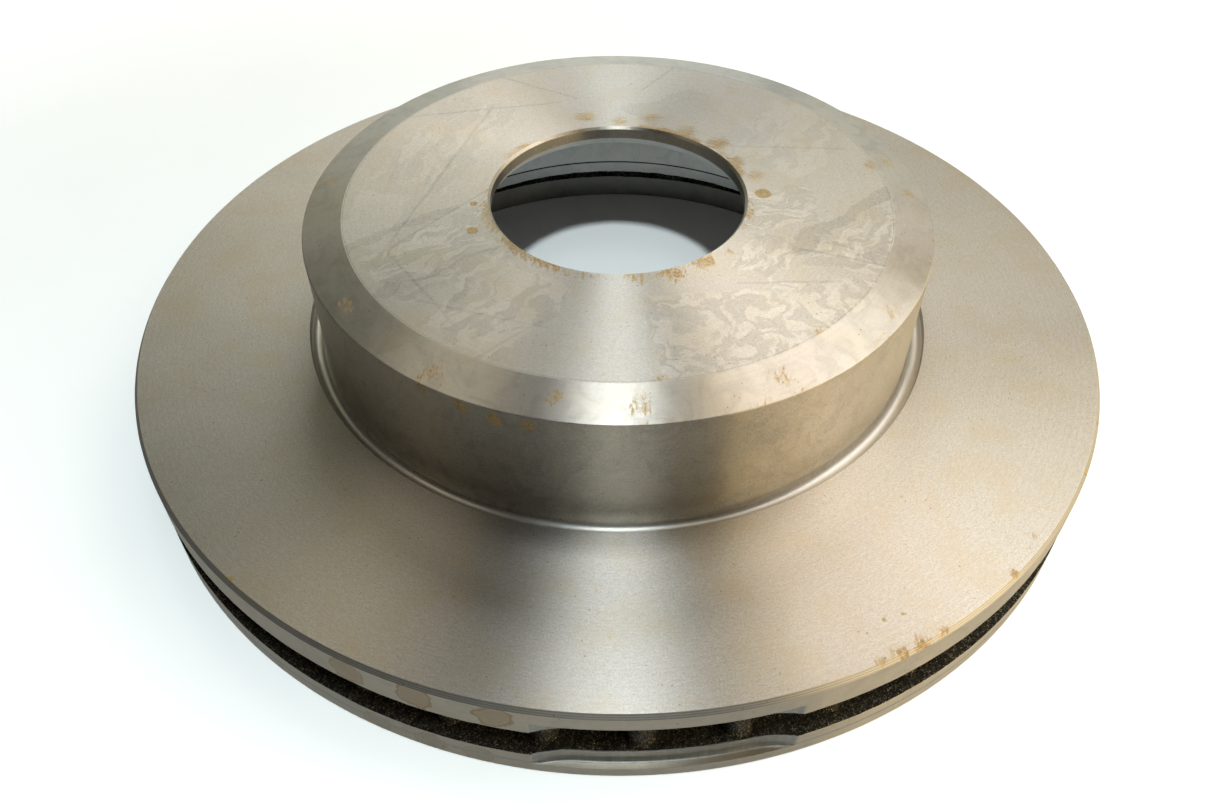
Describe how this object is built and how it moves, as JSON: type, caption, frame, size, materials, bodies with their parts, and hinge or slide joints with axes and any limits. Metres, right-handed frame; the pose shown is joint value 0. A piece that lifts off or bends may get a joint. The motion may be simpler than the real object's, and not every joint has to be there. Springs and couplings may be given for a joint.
{
  "type": "brake disc rotor",
  "caption": "Ventilated top-hat brake disc in machined grey iron, with radial vanes, a relief groove round the hat, an undrilled flange with a centre bore and a balance pocket in the rim.",
  "frame": {"origin": "centre of the inboard friction face, which is the bottom of the part", "axes": "+Z along the axis of rotation, from the inboard friction face to the hat; -Y through the balance pocket in the rim"},
  "size_m": [0.32, 0.32, 0.0727],
  "materials": {
    "machined_iron": "fine-turned bare grey iron, with faint film marks and light rust blooms",
    "cast_iron_skin": "dark sand-cast skin, as cast"
  },
  "bodies": {
    "root": {"hat_wall": "machined_iron", "inboard_friction_ring": "machined_iron", "mounting_flange": "machined_iron", "neck_ring": "machined_iron", "outboard_friction_ring": "machined_iron", "vane_01": "cast_iron_skin", "vane_02": "cast_iron_skin", "vane_03": "cast_iron_skin", "vane_04": "cast_iron_skin", "vane_05": "cast_iron_skin", "vane_06": "cast_iron_skin", "vane_07": "cast_iron_skin", "vane_08": "cast_iron_skin", "vane_09": "cast_iron_skin", "vane_10": "cast_iron_skin", "vane_11": "cast_iron_skin", "vane_12": "cast_iron_skin", "vane_13": "cast_iron_skin", "vane_14": "cast_iron_skin", "vane_15": "cast_iron_skin", "vane_16": "cast_iron_skin", "vane_17": "cast_iron_skin", "vane_18": "cast_iron_skin", "vane_19": "cast_iron_skin", "vane_20": "cast_iron_skin", "vane_21": "cast_iron_skin", "vane_22": "cast_iron_skin", "vane_23": "cast_iron_skin", "vane_24": "cast_iron_skin", "vane_25": "cast_iron_skin", "vane_26": "cast_iron_skin", "vane_27": "cast_iron_skin", "vane_28": "cast_iron_skin", "vane_29": "cast_iron_skin", "vane_30": "cast_iron_skin", "vane_31": "cast_iron_skin", "vane_32": "cast_iron_skin", "vane_33": "cast_iron_skin", "vane_34": "cast_iron_skin", "vane_35": "cast_iron_skin", "vane_36": "cast_iron_skin", "vane_37": "cast_iron_skin", "vane_38": "cast_iron_skin"}
  },
  "joints": []
}
